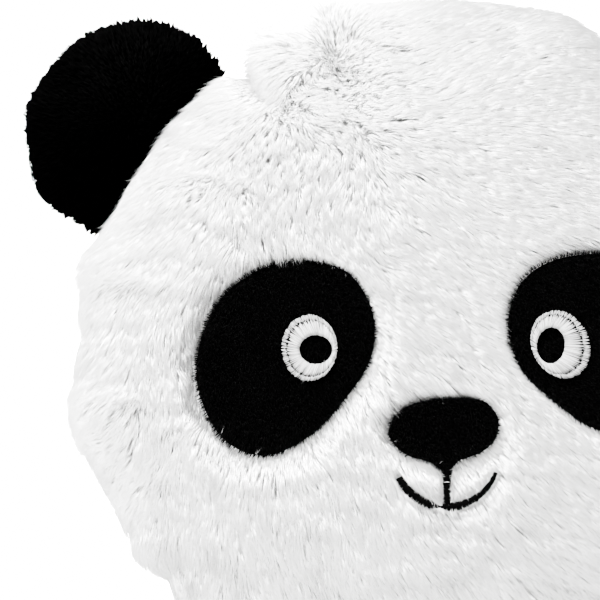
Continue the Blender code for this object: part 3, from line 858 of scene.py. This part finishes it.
def face_point(place, below):
    """Points of the face's smooth dish at places in its plane, a depth below the fur's tips."""
    share = np.clip(np.hypot(place[:, 0], place[:, 1] - FACE_DROP) / RADIUS, 0, 0.999)
    y = below - HALF_DEPTH * np.sqrt(1 - share**HEAD_POWER)
    return np.column_stack((place[:, 0], y, place[:, 1] + FACE_Z))


def face_normal(place):
    """The dish's outward direction at places in its plane."""
    step = 0.0005
    here = face_point(place, 0)
    right = face_point(place + (step, 0), 0) - here
    up = face_point(place + (0, step), 0) - here
    return unit(np.cross(right, up))


def cushion(name, outline, top, crown, finish, node):
    """A sewn-on piece of cloth: crowned in the middle, rounded over at its edge."""
    centre = outline.mean(axis=0)
    bottom = PATCH_BOTTOM
    loops = []
    for level in np.sin(np.linspace(0.06, 1, 14) * math.pi / 2):
        edge = np.sqrt(np.clip(1 - level**10, 0, 1))
        depth = bottom + (top - bottom) * edge + crown * (1 - level**2)
        loops.append(face_point(centre + (outline - centre) * level, depth))
    for level in (0.998, 0.5):
        loops.append(face_point(centre + (outline - centre) * level, bottom + 0.0004))
    poles = [face_point(centre[None], depth) for depth in (top + crown, bottom + 0.0004)]
    faces = capped(len(loops), len(outline))
    points = np.concatenate((*loops, *poles))
    quick_mesh(name, points, faces, [finish], "black_pile", [node], mend=1e-7)


def face_pile(name, outline, below, length, tones, seed, node, ring=None, pupil=None):
    """Short black pile on a sewn-on piece, with a fringe that leans out over its edge."""
    rng = np.random.default_rng(seed)
    low, high = outline.min(axis=0), outline.max(axis=0)
    place = rng.uniform(low, high, (int(np.prod(high - low) * PATCH_STRANDS), 2))
    place = place[inside(place, outline)]
    if ring:
        place = place[~in_oval(place, ring, -0.0003) | in_oval(place, pupil, 0.0002)]
    count = len(place)
    roots = face_point(place, below)
    out = face_normal(place)
    edge = edge_distance(place, outline)
    turn = np.radians(35 + 30 * noise(roots, 0.01, seed) + 25 * rng.standard_normal(count))
    flow = in_space(np.column_stack((np.sin(turn), -np.cos(turn))))
    lean = np.exp(-edge / 0.0012)[:, None]
    outward = in_space(unit(place - outline.mean(axis=0)))
    flow = along_surface(unit(flow * (1 - lean) + outward * lean * 1.6), out)
    size = length * rng.uniform(0.7, 1.15, count)
    group = clump(roots, 0.0008, rng)
    fringe = edge < 0.0014
    size *= np.where(fringe, 0.9 + 0.9 * dice(group, rng), 1)
    tips = roots + out * (0.75 * size)[:, None] + flow * (0.65 * size)[:, None]
    tips += (group_mean(tips, group) - tips) * np.where(fringe, 0.55, 0.25)[:, None]
    radius = PATCH_PILE_RADIUS * rng.uniform(0.8, 1.2, count)
    mesh = spike_mesh((roots - out * 0.0003,), tips, radius)
    slots = np.repeat(rng.integers(0, len(tones), count), 4)
    quick_mesh(name, *mesh, tones, "black_pile", [node], slots)


def thread(name, paths, radius, finishes, slot, node=None):
    """Stitches: a rounded, slightly flat thread along each short path, with closed ends."""
    paths = np.asarray(paths, float)
    count, steps = paths.shape[:2]
    facing = (0.0, -1.0, 0.0)
    ahead = unit(np.gradient(paths, axis=1))
    outward = unit(np.cross(np.cross(ahead, facing), ahead))
    outward = np.where(np.abs(outward).sum(axis=2, keepdims=True) < 0.5, facing, outward)
    side = unit(np.cross(ahead, outward))
    taper = np.where(np.isin(np.arange(steps), (0, steps - 1)), 0.6, 1.0)
    turn = (np.arange(THREAD_SIDES) * math.tau / THREAD_SIDES)[:, None]
    off = np.cos(turn) * side[:, :, None] + THREAD_FLATNESS * np.sin(turn) * outward[:, :, None]
    points = paths[:, :, None] + (taper * radius)[:, None, None] * off
    fan = np.arange(1, THREAD_SIDES - 1)
    start = np.column_stack((0 * fan, fan + 1, fan))
    end = np.column_stack((0 * fan, fan, fan + 1)) + (steps - 1) * THREAD_SIDES
    pattern = np.concatenate((triangles(ring_quads(steps, THREAD_SIDES)), start, end))
    faces = pattern + steps * THREAD_SIDES * np.arange(count)[:, None, None]
    shades = np.random.default_rng(count).integers(0, len(finishes), count)
    quick_mesh(
        name, points.reshape(-1, 3), faces.reshape(-1, 3), finishes, slot, [node] if node else (),
        np.repeat(shades, len(pattern)),
    )  # fmt: skip


def oval(shape, turns, more=0.0):
    """Points on a tilted ellipse whose half axes are made longer by a little."""
    at, half, tilt = shape
    return rotated(circle(turns - tilt) * (np.array(half) + more), tilt) + at


def in_oval(place, shape, more):
    """Which places lie inside such an ellipse."""
    at, half, tilt = shape
    return np.sum((rotated(place - at, -tilt) / (np.array(half) + more)) ** 2, axis=1) < 1


def satin_ring(side, ring, pupil, whites, black):
    """An eye's embroidered ring: two rows of radial stitches over a dark underlay."""
    rng = np.random.default_rng(51 if side == "left" else 52)

    def spots(turns, share, depth):
        place = oval(pupil, turns) * (1 - share)[:, None] + oval(ring, turns) * share[:, None]
        return face_point(place, depth)

    rows = ([], [])
    for k in range(RING_STITCHES):
        turn = math.tau * (k + rng.uniform(-0.25, 0.25)) / RING_STITCHES
        width = size_of(np.subtract(*spots(np.full(2, turn), np.array((1, 0)), 0)))
        rough = 0.00025 / max(width, 0.001)
        inner = (rng.uniform(-rough, rough), RING_ROW + rng.uniform(-0.05, 0.05))
        outer = (RING_ROW - 0.08 + rng.uniform(0, 0.15), 1 + rng.uniform(-1.2, 1.0) * rough)
        skew = rng.uniform(-0.01, 0.01)
        if RING_SLITS[0] < turn < RING_SLITS[1] and k % 4 == 0 and rng.random() < 0.6:
            inner = (inner[0], RING_ROW - rng.uniform(0.05, 0.16))
            outer = (RING_ROW + rng.uniform(0.05, 0.14), outer[1])
        if width < 0.0022:
            inner = (inner[0], 0.98)
        sunk = rng.uniform(0, 0.00016)
        turns = turn + skew * np.arange(5)
        for row, ends, top in ((0, inner, RING_TOP), (1, outer, RING_TOP + 0.00035)):
            rows[row].append(spots(turns, np.linspace(*ends, 5), top + STITCH_BULGE + sunk))
    node = f"{side}_eye_ring"
    thread(f"{node}_inner_stitches", rows[0], RING_THREADS[0], whites, "white_thread", node)
    # Painted shade: the outer row takes only the darker thread tones.
    thread(f"{node}_outer_stitches", rows[1], RING_THREADS[1], whites[1:], "white_thread", node)
    turns = np.linspace(0, math.tau, 96, endpoint=False)
    edge, hole = oval(ring, turns, -0.0004), oval(pupil, turns, 0.0004)
    lines = (hole, hole, (hole + edge) / 2, edge, edge)
    depths = (0.0024, 0.0007, 0.0004, 0.0008, 0.0024)
    loops = [face_point(*step) for step in zip(lines, RING_TOP + np.array(depths), strict=True)]
    points = np.concatenate(loops)
    faces = triangles(ring_quads(len(loops), len(turns), looped=True))
    quick_mesh(f"{node}_underlay", points, faces, [black], "black_thread", [node], mend=1e-7)


def cross_stitches(name, path, half_widths, node, finish, seed):
    """A stitched line: short threads across it, packed side by side."""
    rng = np.random.default_rng(seed)
    along = lengths(path)
    count = int(along[-1] / STITCH_PITCH)
    paths = []
    for k in range(count):
        at = (k + rng.uniform(0.3, 0.7)) / count * along[-1]
        behind, here, ahead = places_at(at + np.array((-0.0005, 0, 0.0005)), path, along)
        way = unit(ahead - behind)
        across = np.array((-way[1], way[0])) + way * rng.uniform(-0.12, 0.12)
        half = np.interp(at / along[-1], np.linspace(0, 1, len(half_widths)), half_widths)
        low, high = -half * rng.uniform(0.78, 1.16), half * rng.uniform(0.78, 1.16)
        places = here + across * np.linspace(low, high, 5)[:, None]
        bulge = np.array((0.0009, 0.0002, 0, 0.0002, 0.0009)) + rng.uniform(0, 0.0002)
        paths.append(face_point(places, MOUTH_DEPTH + bulge))
    thread(name, paths, MOUTH_THREAD, [finish], "black_thread", node)


def lint(name, spots, finish, seed):
    """Stray hairs on the black pieces: short fine spikes fanned round each spot."""
    rng = np.random.default_rng(seed)
    starts, ends = [], []
    for x, z, turn, length, count in spots:
        for _ in range(count):
            place = np.array((x, z)) / 1000 + rng.normal(0, 0.0003, 2)
            way = math.radians(turn + rng.normal(0, 14))
            step = np.array((math.sin(way), -math.cos(way))) * length * rng.uniform(0.5, 1) / 1000
            starts.append(face_point(place[None], LINT_DEPTH)[0])
            ends.append(face_point(place[None] + step, LINT_DEPTH - 0.0003)[0])
    mesh = spike_mesh((np.array(starts),), np.array(ends), np.full(len(starts), LINT_RADIUS))
    quick_mesh(name, *mesh, [finish], "white_fur")


def lock_line(name, outline, depth, finish, node):
    """The running stitch that holds a sewn-on piece: one short thread after another."""
    closed = np.concatenate((outline, outline[:1]))
    along = lengths(closed)
    count = int(along[-1] / LOCK_PITCH)
    at = (np.arange(count)[:, None] + np.linspace(0.08, 0.92, 5)) / count * along[-1]
    places = places_at(at, closed, along)
    paths = [face_point(place, depth + STITCH_BULGE) for place in places]
    thread(name, paths, LOCK_THREAD, [finish], "black_thread", node)


# ---- ears


def ear_height(points, share):
    """Half the ear's thickness: a pillow that thins towards its base."""
    dome = EAR_HALF_THICKNESS * np.sqrt(np.clip(1 - share**2.6, 1e-6, 1))
    wedge = 0.0006 + 0.5 * np.maximum(points[:, 1], 0)
    return (dome**-4 + wedge**-4) ** -0.25


def ear_share(place):
    """How far out places are from the ear's middle: 0 there and 1 on its edge."""
    curve = smooth_curve(EAR_OUTLINE_MM, 4, False)
    base = np.linspace(curve[-1], curve[0], 12)[1:-1]
    away = np.concatenate((curve, base)) - EAR_MIDDLE
    away = away[np.argsort(np.arctan2(away[:, 0], away[:, 1]))]
    off = place - EAR_MIDDLE
    reach = np.interp(
        np.arctan2(off[:, 0], off[:, 1]), np.arctan2(away[:, 0], away[:, 1]),
        size_of(away), period=math.tau,
    )  # fmt: skip
    return np.clip(size_of(off) / reach, 0, 0.999)


def ear_skin(word, side, cloth):
    """The ear's stuffed cloth, closed at its rim, as points in its own space and triangles."""
    curve = smooth_curve(EAR_OUTLINE_MM, 8, False)
    edge = np.concatenate((grow(curve, -EAR_INSET), [(-0.0385, -0.006), (0.0385, -0.006)]))
    closed = np.concatenate((edge, edge[:1]))
    steps = lengths(closed)
    outline = places_at(np.linspace(0, steps[-1], 161)[:-1], closed, steps)
    centre = np.array(EAR_MIDDLE)
    loops = []
    for level in np.sin(np.linspace(0.02, 1, 26) * math.pi / 2):
        ring = centre + (outline - centre) * level
        full = ear_height(ring, ear_share(ring))
        height = np.maximum(np.maximum(full * 0.8 - 0.0004, full - 0.0024), 0.0003)
        lump = noise(np.column_stack((ring, ring[:, 0])) + side, 0.016, 61)
        height += 0.0006 * (lump + 1) * (1 - level**4)
        loops.append((ring, height * math.sqrt(1 - level**30 * 0.999)))
    points = [np.insert(ring, 1, -height, axis=1) for ring, height in loops]
    points += [np.insert(ring, 1, height, axis=1) for ring, height in reversed(loops)]
    crown = float(loops[0][1].mean())
    poles = [(centre[0], -crown, centre[1]), (centre[0], crown, centre[1])]
    flat = np.concatenate((*points, poles))
    faces = capped(len(points), len(outline))
    skin = quick_mesh(
        f"{word}_ear_cloth", from_ear_frame(flat, side), faces, [cloth], "black_pile",
        [f"{word}_ear_{part}" for part in ("front", "back", "seam_thread")],
        body=None, mend=1e-7,
    )  # fmt: skip
    return skin, flat, faces


def ear_pile(word, side, flat, faces, tones):
    """The black pile on an ear's cloth, in two pieces."""
    rng = np.random.default_rng(70 + side)
    corners = flat[faces]
    across = np.cross(corners[:, 1] - corners[:, 0], corners[:, 2] - corners[:, 0])
    area = size_of(across)
    picks = np.searchsorted(np.cumsum(area), rng.random(EAR_STRANDS) * area.sum())
    picks = np.minimum(picks, len(faces) - 1)
    a, b = rng.random((2, EAR_STRANDS, 1))
    flip = a + b > 1
    a, b = np.where(flip, 1 - a, a), np.where(flip, 1 - b, b)
    t = corners[picks]
    roots = t[:, 0] * (1 - a - b) + t[:, 1] * a + t[:, 2] * b
    roots = roots[roots[:, 2] > -0.005]
    count = len(roots)
    out = ear_normals(roots)
    away = unit(roots[:, (0, 2)] - (0, 0.012))
    turn = np.radians(35 * noise(roots + side, 0.012, 62) + 14 * rng.standard_normal(count))
    flow = along_surface(in_space(rotated(unit(away + (-0.35, 0.25)), turn)), out)
    group = clump(roots, 0.0016, rng)
    size = EAR_PILE * rng.uniform(0.85, 1.1, count) * (0.76 + 0.42 * dice(group, rng))
    size *= 1 + 0.12 * noise(roots, 0.007, 63)
    tips = roots + out * (0.85 * size)[:, None] + flow * (0.75 * size)[:, None]
    tips = 0.42 * tips + 0.58 * group_mean(tips, group)
    radius = EAR_PILE_RADIUS * rng.uniform(0.8, 1.2, count)
    shade = rng.integers(0, len(tones), count)
    piles = []
    for facing, sign in (("front", -1), ("back", 1)):
        mine = roots[:, 1] * sign > 0
        foot, tip = (from_ear_frame(p[mine], side) for p in (roots - out * 0.0004, tips))
        pile = quick_mesh(
            f"{word}_ear_{facing}_pile", *spike_mesh((foot,), tip, radius[mine]), tones,
            "black_pile", [f"{word}_ear_{facing}"], np.repeat(shade[mine], 4), body=None,
        )  # fmt: skip
        piles.append(pile)
    return piles


def ear_parts(word, side, cloth, tones):
    """One ear: its stuffed skin and its pile, set in place at the ear's fold."""
    skin, flat, faces = ear_skin(word, side, cloth)
    for made in (skin, *ear_pile(word, side, flat, faces, tones)):
        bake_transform(made)


def ear_normals(points):
    """The pillow's outward direction at points near it, in the ear's own space."""
    plane = points[:, (0, 2)]

    def slope(step):
        low, high = (
            ear_height(place, np.minimum(ear_share(place), 0.97)) * 0.8
            for place in (plane - step, plane + step)
        )
        return (high - low) / (2 * max(step))

    side = np.where(points[:, 1] > 0, 1.0, -1.0)
    smooth = unit(np.column_stack((-slope((0.0005, 0)), side, -slope((0, 0.0005)))))
    thin = np.clip(1 - np.abs(points[:, 1]) / 0.0025, 0, 1)[:, None]
    rim = unit(in_space(plane - EAR_MIDDLE))
    base = ((plane[:, 1] < 0.008) & (np.abs(plane[:, 0]) < 0.036))[:, None]
    return unit(np.where(base, smooth, smooth * (1 - thin) + rim * thin))


# ---- the object


white_tones = [
    plain_shader(f"white_strand_{k + 1}", grey(value), 0.6, sheen=0.1, specular=0.15)
    for k, value in enumerate(WHITE_TONES)
]
ear_tones, black_tones = (
    [
        plain_shader(f"{word}_strand_{k + 1}", (value, value, value), 0.8, specular=0.01)
        for k, value in enumerate(values)
    ]
    for word, values in (("ear", EAR_TONES), ("black", BLACK_TONES))
)
white_cloth = cloth_shader("white_backing_cloth", grey(0.7), grey(0.86), 900, 0.3)
black_cloth = cloth_shader("black_pile_cloth", [0.0005] * 3, [0.0012] * 3, 1200, 0.3, specular=0)
white_threads = [
    cloth_shader(f"white_thread_{k + 1}", grey(value), grey(value + 0.08), 2500, 0.15, 0.6)
    for k, value in enumerate(THREAD_TONES)
]
black_thread = cloth_shader(
    "black_embroidery_thread", (0.001,) * 3, (0.003,) * 3, 2500, 0.2, 0.7, specular=0.02
)
inner_cloth = cloth_shader("embroidery_backing_cloth", grey(0.55), grey(0.75), 1500, 0.3)
inner_fibre = cloth_shader("filling_fibre_mat", grey(0.6), grey(0.8), 300, 0.4)

grid = head_grid(CLOTH_DEPTH)
normals = grid_normals(grid)
head_skin(grid, head_grid(CLOTH_DEPTH + SKIN_THICKNESS), white_cloth)
white_fur(grid, normals, white_tones)

for side, ring, pupil, seed in (
    ("left", LEFT_RING, LEFT_PUPIL, 41),
    ("right", RIGHT_RING, RIGHT_PUPIL, 42),
):
    node, edge, top = f"{side}_eye_patch", PATCHES[side], PATCH_TOP
    cushion(f"{node}_cloth", edge, top, -0.0003, black_cloth, node)
    face_pile(f"{node}_pile", edge, top, PATCH_PILE, black_tones, seed, node, ring, pupil)
    word = f"{side}_patch_stitch"
    lock_line(f"{word}es", grow(edge, -0.0023), top - 0.0001, black_thread, f"{word}ing")
    satin_ring(side, ring, pupil, white_threads, black_thread)

node = "nose_applique"
cushion("nose_cloth", NOSE, NOSE_TOP, -0.0008, black_cloth, node)
face_pile("nose_pile", NOSE, NOSE_TOP - 0.0005, PATCH_PILE * 0.8, black_tones, 43, node)
lock_line("nose_stitches", grow(NOSE, -0.0022), NOSE_TOP - 0.0008, black_thread, "nose_stitching")
lint("stray_hairs", LINT, white_threads[1], 46)

philtrum = np.linspace(*PHILTRUM, 30)
smile = SMILE_CENTRE + SMILE_RADIUS * circle(np.linspace(*SMILE_ENDS, 80))
for word, path, half_widths, seed in (
    ("philtrum", philtrum, PHILTRUM_HALF_WIDTHS, 44),
    ("smile", smile, SMILE_HALF_WIDTHS, 45),
):
    node = f"{word}_stitch"
    cross_stitches(f"{node}es", path, half_widths, node, black_thread, seed)

# White threads and hairs that lie over the mouth.
crossing = face_point(np.array(((0.0014, -0.0453), (0.0026, -0.0451), (0.0038, -0.0452))), 0.0001)
thread("philtrum_cross_thread", [crossing], 0.00012, white_threads[:1], "white_thread")
hairs = []
for x, lean in ((-0.0031, 0.0005), (-0.0024, 0.0002), (-0.0013, 0.0005)):
    line = np.array(((x - lean, -0.0528), (x, -0.0545), (x + lean, -0.0562)))
    hairs.append(face_point(line, MOUTH_DEPTH))
thread("smile_cross_hairs", hairs, 0.00007, white_threads[:1], "white_fur")

for word, side in (("left", -1), ("right", 1)):
    ear_parts(word, side, black_cloth, ear_tones)

for finish, nodes in (
    (inner_fibre, ("head_filling", "left_ear_filling", "right_ear_filling")),
    (inner_cloth, ("embroidery_backing",)),
    (white_threads[0], ("perimeter_seam_thread", "closing_stitch")),
):
    for node in nodes:
        materials = frame["nodes"][node].data.materials
        materials.clear()
        materials.append(finish)


# ---- stage, light and camera


def soft_light(name, place, size, power):
    """A round lamp that shines at the middle of the head."""
    lamp = bpy.data.lights.new(name, "AREA")
    lamp.shape = "DISK"
    lamp.size = size
    lamp.energy = power
    made = bpy.data.objects.new(name, lamp)
    made.location = place
    aim = Vector((0, 0, CENTRE_Z)) - Vector(place)
    made.rotation_euler = aim.to_track_quat("-Z", "Y").to_euler()
    bpy.context.scene.collection.objects.link(made)


soft_light("key_light", (-0.75, -1.35, 1.95), 0.8, KEY_POWER)
soft_light("fill_light", (1.2, -1.3, 1.9), 1.0, FILL_POWER)
soft_light("back_light", (-1.9, 0.5, 0.6), 1.2, BACK_POWER)

world = bpy.data.worlds.new("pale_studio")
world.use_nodes = True
tree = world.node_tree
backdrop = tree.nodes["Background"]
backdrop.inputs["Color"].default_value = (1, 1, 1, 1)
backdrop.inputs["Strength"].default_value = BACKDROP
glow = add_node(tree, "Background", Color=(1, 1, 1, 1), Strength=GLOW)
seen = add_node(tree, "LightPath").outputs["Is Camera Ray"]
both = add_node(tree, "MixShader", Fac=seen)
tree.links.new(glow.outputs["Background"], both.inputs[1])
tree.links.new(backdrop.outputs["Background"], both.inputs[2])
tree.links.new(both.outputs["Shader"], tree.nodes["World Output"].inputs["Surface"])
bpy.context.scene.world = world

rim = circle(np.linspace(0, math.tau, 96, endpoint=False)) * FLOOR_RADIUS
points = np.column_stack((np.concatenate((rim, [(0, 0)])), np.full(len(rim) + 1, -0.0004)))
spokes = [(i, (i + 1) % len(rim), len(rim)) for i in range(len(rim))]
floor_paint = cloth_shader("pale_floor", grey(0.6), grey(0.64), 40, 0.0)
quick_mesh("floor", points, spokes, [floor_paint], body=None)

lens = bpy.data.cameras.new("camera")
lens.sensor_width = SENSOR
lens.lens = SENSOR * VIEW_DISTANCE / VIEW_WIDTH
lens.clip_start = 0.1
lens.clip_end = 40
camera = bpy.data.objects.new("camera", lens)
camera.location = (VIEW_CENTRE[0], -VIEW_DISTANCE, FACE_Z + VIEW_CENTRE[1])
camera.rotation_euler = (math.pi / 2, 0, 0)
bpy.context.scene.collection.objects.link(camera)
bpy.context.scene.camera = camera
developing = bpy.context.scene.view_settings
developing.view_transform = "AgX"
developing.look = "AgX - High Contrast"
developing.exposure = EXPOSURE
